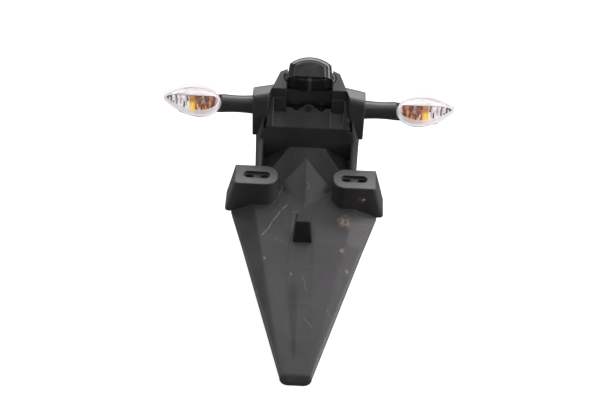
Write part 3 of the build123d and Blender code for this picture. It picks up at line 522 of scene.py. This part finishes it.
def painted_reflection_look():
    """Plated reflector with painted reflections: amber blocks by the bulb, a yellow flash beside them and
    bright flutes beyond, all with a painted glow.
    """
    s = Shader("reflector_chrome")
    reach = along_lens(s)
    rise = s.math("SUBTRACT", s.along(up), stalk_axis.dot(up))
    wobble = s.times(s.math("SUBTRACT", s.noise(260, detail=3), 0.5), colour_wobble)
    share = s.math("DIVIDE", s.math("ADD", reach, wobble), lens_length)

    def blocks(width, height):
        """A random value for each block of a pattern."""
        spots = s.add("ShaderNodeCombineXYZ")
        s.put(spots.inputs["X"], s.math("DIVIDE", reach, width))
        s.put(spots.inputs["Y"], s.math("DIVIDE", rise, height))
        cells = s.add("ShaderNodeTexVoronoi", distance="CHEBYCHEV")
        cells.inputs["Scale"].default_value = 1.0
        s.put(cells.inputs["Vector"], spots.outputs[0])
        parts = s.add("ShaderNodeSeparateColor")
        s.put(parts.inputs[0], cells.outputs["Color"])
        return parts.outputs[0]

    def past(end):
        """1 past a share of the lens's length."""
        return s.fade(share, end - colour_blend, end + colour_blend)

    # painted reflection: amber blocks for the bulb mirrored in the plating
    amber_reflection = s.ramp(blocks(*amber_reflection_block), [
        (0.10, (0.035, 0.012, 0.012)), (0.42, (0.11, 0.03, 0.018)), (0.62, (0.30, 0.08, 0.02)),
        (0.80, (0.78, 0.30, 0.07)), (0.96, (0.88, 0.62, 0.46)),
    ])
    flutes = s.ramp(blocks(*flute_reflection_block), [
        (0.20, (0.06, 0.06, 0.07)), (0.38, (0.42, 0.36, 0.34)), (0.5, (0.86, 0.80, 0.80)),
        (0.9, (0.92, 0.90, 0.92)),
    ])
    yellow_reflection = s.mix(s.fade(rise, 0.0, yellow_reflection_rise), (1.0, 0.70, 0.05), (0.50, 0.20, 0.03))
    colour = s.mix(past(amber_reflection_end), amber_reflection, yellow_reflection)
    colour = s.mix(past(yellow_reflection_end), colour, flutes)
    colour = s.mix(s.fade(share, pale_end, pale_core), colour, (0.70, 0.66, 0.65))
    # painted glow: the reflector's colours are given emission, standing in for the light its plating mirrors
    s.set(Base_Color=colour, Metallic=0.1, Roughness=0.22, Emission_Color=colour, Emission_Strength=0.22)
    s.bump(s.noise(700, detail=2), strength=0.05, depth=grain_depth)
    return s.material


def shelf_look():
    """Smooth plated upper half, pale with a painted pinkish reflection of the bulb and grey streaks towards
    its tip, and a faint painted glow.
    """
    s = Shader("reflector_shelf")
    plate, bulb_reflection_tint, streaked = (0.80, 0.77, 0.78), (0.84, 0.73, 0.70), (0.30, 0.28, 0.29)
    # painted reflection: a pinkish tint from the bulb
    bulb_reflection_mask = s.fade(s.noise(70, detail=3), 0.35, 0.65)
    colour = s.mix(bulb_reflection_mask, plate, bulb_reflection_tint)
    streaks = s.fade(s.noise(240, detail=3, rough=0.6, stretch=(0.35, 1.6, 1.6)), 0.50, 0.64)
    outward = s.fade(along_lens(s), 0.3 * lens_length, 0.75 * lens_length, 0.25, 0.8)
    s.set(Base_Color=s.mix(s.times(streaks, outward), colour, streaked), Roughness=0.3)
    # painted glow: the shelf is given emission for the light its plating mirrors
    s.set(Emission_Color=(1.0, 0.96, 0.95, 1.0), Emission_Strength=0.12)
    s.bump(s.noise(240, detail=2), strength=0.08, depth=0.4 * MM)
    return s.material


# Looks of the CAD pieces
fender_look = moulded_plastic("fender_plastic", True)
carrier_look = moulded_plastic("carrier_plastic", False)
rubber_look = buffer_rubber()
foam_look = dark_foam()
zinc_look = zinc_steel()
hood_look = gloss_plastic("hood_plastic", (0.010, 0.010, 0.011), roughness=0.17, edge=1.2 * MM)
stalk_look = gloss_plastic("stalk_plastic", (0.013, 0.013, 0.014), roughness=0.34, edge=0.5 * MM)
shell_look = gloss_plastic("shell_plastic", (0.012, 0.012, 0.013), roughness=0.25, edge=0.5 * MM)
socket_look = gloss_plastic("socket_plastic", (0.03, 0.03, 0.03), roughness=0.5, edge=None)
amber_look = bulb_glass("amber_glass", (0.30, 0.06, 0.008), alpha=0.4)
bulb_look = bulb_glass("bulb_glass", (0.9, 0.9, 0.88), alpha=0.5)
looks = {
    "rear_fender": fender_look, "inner_carrier": carrier_look, "plate_buffer": rubber_look,
    "lamp_hood": hood_look, "lamp_lens": lamp_lens(), "lamp_gasket": foam_look, "lamp_socket": socket_look,
    "lamp_bulb": bulb_look, "lamp_screws": zinc_look, "lamp_tab_screw": black_screw(),
    "mount_collars": zinc_look, "cover_screws": zinc_look, "wire_grommet": foam_look,
}
for side_name in ("left", "right"):
    looks.update({
        f"{side_name}_stalk": stalk_look, f"{side_name}_back_shell": shell_look,
        f"{side_name}_bulb": amber_look, f"{side_name}_bulb_socket": socket_look,
        f"{side_name}_retainer": zinc_look, f"{side_name}_nut": zinc_look,
    })
for node_name, look in looks.items():
    nodes[node_name].data.materials.clear()
    nodes[node_name].data.materials.append(look)


def lobe(share, peak, fall):
    """A rounded hump over a length of 1, blunt at its start and fuller or leaner towards its end."""
    lead = fall * peak / (1 - peak)
    return (share / peak) ** lead * ((1 - share) / (1 - peak)) ** fall


def outline(share, inset):
    """Place along the lens, and upper and lower heights, at a share of its length, drawn in by inset."""
    x = inset + share * (lens_length - 2 * inset)
    half = lens_half - inset
    rise = lens_tip_rise * share
    upper = rise + (half - lens_tip_rise * upper_peak) * lobe(share, upper_peak, upper_fall)
    lower = rise - (half + lens_tip_rise * lower_peak) * lobe(share, lower_peak, lower_fall)
    return x, upper, lower


def dome(x, rise):
    """Depth of the lens's domed face over a place."""
    return lens_depth - ((x - upper_peak * lens_length) ** 2 + rise ** 2) / (2 * lens_dome_radius)


def indicator_point(side, x, rise, forward):
    """A point in an indicator, from its distance along X, up and towards the rear."""
    base = Vector((side * (lens_start + x), stalk_axis.y, stalk_axis.z))
    return base + up * rise + rear * forward


def lens_ring(bm, side, inset, depth):
    """A closed ring of the lens's outline, at depths given by a function of the place."""
    shares = [(1 - cos(pi * i / outline_steps)) / 2 for i in range(outline_steps + 1)]
    spots = [(x, upper) for x, upper, lower in (outline(share, inset) for share in shares)]
    spots += [(x, lower) for x, upper, lower in (outline(share, inset) for share in reversed(shares[1:-1]))]
    return [bm.verts.new(indicator_point(side, x, rise, depth(x, rise))) for x, rise in spots]


def lens(name, side, face_look, wall_look):
    """An indicator's lens: a skirt over the shell, a drafted wall, a rounded shoulder and a domed face."""
    bm = bmesh.new()
    rings = [
        lens_ring(bm, side, -skirt_out, lambda x, rise: -skirt_drop),
        lens_ring(bm, side, -skirt_out, lambda x, rise: 0.0),
    ]
    for share in wall_shares:
        rings.append(lens_ring(bm, side, lens_draft * share, lambda x, rise: share * dome(x, rise)))
    wall_rings = len(rings)
    for turn in shoulder_turns:
        inset = lens_draft + shoulder_round * (1 - cos(turn * pi / 2))
        drop = shoulder_round * (1 - sin(turn * pi / 2))
        rings.append(lens_ring(bm, side, inset, lambda x, rise: dome(x, rise) - drop))
    inner = lens_draft + shoulder_round
    for share in face_shares:
        rings.append(lens_ring(bm, side, inner + share * (lens_half - inner), dome))
    for row, (low_ring, high_ring) in enumerate(zip(rings, rings[1:])):
        count = len(low_ring)
        for k in range(count):
            after = (k + 1) % count
            face = bm.faces.new((low_ring[k], low_ring[after], high_ring[after], high_ring[k]))
            face.material_index = 1 if row < wall_rings else 0
    last = rings[-1]
    for k in range(len(last) // 2):
        corners = [last[k], last[k + 1], last[-(k + 1)], last[-k] if k else last[0]]
        bm.faces.new(list(dict.fromkeys(corners)))
    piece = mesh_object(name, bm, face_look)
    piece.data.materials.append(wall_look)
    return piece


def reflector_part(row):
    """The material of a row of a reflector's faces: 0 for flutes, 1 for rim and shelf, 2 for the groove, in
    dark plastic as a painted shadow under the shelf's edge.
    """
    if row == shelf_rows:
        return 2
    return 0 if shelf_rows < row <= shelf_rows + bowl_rows else 1


def reflector(name, side, look, smooth_look):
    """A reflector bowl: a smooth shelf above its dividing line and flutes below."""
    bm = bmesh.new()
    previous = None
    for i in range(bowl_columns + 1):
        share = bowl_trim + (1 - 2 * bowl_trim) * i / bowl_columns
        x, top, bottom = outline(share, lens_wall)
        flange_x, flange_top, flange_bottom = outline(share, flange_inset)
        divide = min(max(divide_up, bottom), top)
        taper = smooth(share / bowl_lead) * smooth((1 - share) / bowl_tail)
        wave = flute_depth * taper * abs(sin(pi * x / flute_pitch))
        floor = -bowl_depth * taper
        lift = shelf_lift * taper
        profile = [(flange_top, flange_lift), (top, flange_lift)]
        profile += [(0.5 * (top + divide), shelf_middle * lift), (divide, lift)]
        profile.append((divide - groove_in * taper, lift - groove_drop * taper))
        profile.append((divide - 2 * groove_in * taper, floor * bowl_top_share + wave))
        for k in range(1, bowl_rows + 1):
            turn = k / bowl_rows * pi / 2
            rise = divide + (bottom - divide) * (bowl_top_step + (1 - bowl_top_step) * sin(turn))
            profile.append((rise, floor * cos(turn) ** bowl_fullness + wave * cos(turn)))
        profile += [(bottom, flange_lift), (flange_bottom, flange_lift)]
        places = [flange_x] + [x] * (len(profile) - 2) + [flange_x]
        column = [
            bm.verts.new(indicator_point(side, place, rise, forward))
            for place, (rise, forward) in zip(places, profile)
        ]
        if previous:
            for k in range(len(column) - 1):
                face = bm.faces.new((previous[k], column[k], column[k + 1], previous[k + 1]))
                face.material_index = reflector_part(k)
        previous = column
    piece = mesh_object(name, bm, look)
    piece.data.materials.append(smooth_look)
    # painted shadow: the groove under the shelf's edge takes dark plastic
    piece.data.materials.append(socket_look)
    return piece


# Lenses and reflectors in place of the plainer CAD ones
plated, plated_shelf = painted_reflection_look(), shelf_look()
lens_face, lens_side = indicator_lens("indicator_lens", False), indicator_lens("indicator_lens_wall", True)
for side_name, side in (("left", -1), ("right", 1)):
    bowl = reflector(f"{side_name}_reflector_bowl", side, plated, plated_shelf)
    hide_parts(f"{side_name}_reflector")
    cover = lens(f"{side_name}_lens_cover", side, lens_face, lens_side)
    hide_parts(f"{side_name}_lens")


def stage_floor(height):
    """A plain pale floor that the part stands on, kept from lighting it from below."""
    bm = bmesh.new()
    bmesh.ops.create_grid(bm, x_segments=1, y_segments=1, size=floor_half)
    mesh = bpy.data.meshes.new("floor")
    bm.to_mesh(mesh)
    bm.free()
    floor = bpy.data.objects.new("floor", mesh)
    floor.location.z = height
    bpy.context.scene.collection.objects.link(floor)
    pale = bpy.data.materials.new("floor")
    pale.use_nodes = True
    shader = pale.node_tree.nodes["Principled BSDF"]
    shader.inputs["Base Color"].default_value = (floor_grey, floor_grey, floor_grey, 1)
    shader.inputs["Roughness"].default_value = floor_roughness
    shader.inputs["Emission Color"].default_value = (1, 1, 1, 1)
    shader.inputs["Emission Strength"].default_value = floor_glow
    mesh.materials.append(pale)
    floor.visible_diffuse = False
    floor.visible_glossy = False


def softbox(name, aim, place, size, power):
    """A rectangular soft light."""
    light = bpy.data.lights.new(name, "AREA")
    light.shape = "RECTANGLE"
    light.size, light.size_y = size
    light.energy = power
    light.color = light_tint
    lamp = bpy.data.objects.new(name, light)
    lamp.location = place
    lamp.rotation_euler = (aim - Vector(place)).to_track_quat("-Z", "Y").to_euler()
    bpy.context.scene.collection.objects.link(lamp)


def surround():
    """An even grey all round the part."""
    world = bpy.data.worlds.new("studio")
    world.use_nodes = True
    grey = (surround_grey, surround_grey, surround_grey, 1)
    world.node_tree.nodes["Background"].inputs["Color"].default_value = grey
    bpy.context.scene.world = world


def camera():
    """The photograph's camera."""
    level, height = cos(camera_elevation), sin(camera_elevation)
    towards = Vector((sin(camera_turn) * level, -cos(camera_turn) * level, height))
    level_up = Vector((-sin(camera_turn) * height, cos(camera_turn) * height, level))
    level_right = level_up.cross(towards)
    right = level_right * cos(camera_roll) + level_up * sin(camera_roll)
    top = level_up * cos(camera_roll) - level_right * sin(camera_roll)
    data = bpy.data.cameras.new("camera")
    data.sensor_width = sensor_width
    data.lens = sensor_width * focal_pixels / image_width
    view = bpy.data.objects.new("camera", data)
    turned = Matrix((right, top, towards)).transposed().to_4x4()
    view.matrix_world = Matrix.Translation(camera_target + towards * camera_distance) @ turned
    bpy.context.scene.collection.objects.link(view)
    bpy.context.scene.camera = view


# Floor, light and camera
low, high = (Vector(corner) for corner in cad_box)
stage_floor(low.z)
for light_name, setting in softboxes.items():
    softbox(light_name, (low + high) / 2, *setting)
surround()
bpy.context.scene.view_settings.view_transform = "Standard"
camera()
